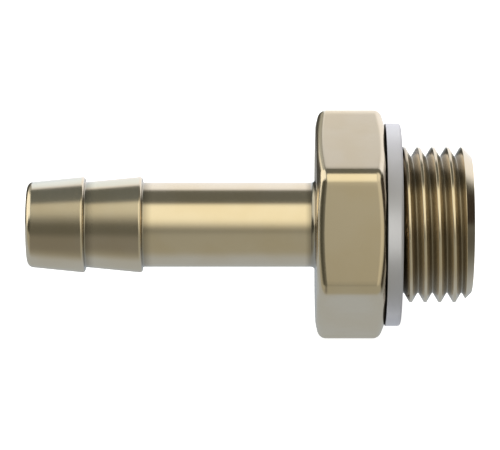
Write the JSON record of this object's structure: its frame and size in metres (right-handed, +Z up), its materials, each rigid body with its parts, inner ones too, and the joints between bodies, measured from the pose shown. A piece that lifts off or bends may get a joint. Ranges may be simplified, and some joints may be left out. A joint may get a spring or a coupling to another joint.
{
  "type": "hose nipple",
  "caption": "Hose nipple with a barbed hose tail, a hexagon, a flat sealing ring and a parallel pipe thread, joining a small hose to a threaded port.",
  "frame": {"origin": "centre of the sealing ring's outer face, on the bore's axis, where the face of the threaded port lies once the nipple is screwed in", "axes": "+X along the axis, out of the threaded end; the hose tail points to -X; +Z up, with one flat of the hexagon facing down as it lies on a table"},
  "size_m": [0.0278, 0.0144, 0.0126],
  "materials": {
    "nickel_plate": "turned brass with a bright, warm nickel plate",
    "ring_plastic": "satin white-grey polyamide"
  },
  "bodies": {
    "root": {"nipple_body": "nickel_plate", "sealing_ring": "ring_plastic"}
  },
  "joints": []
}
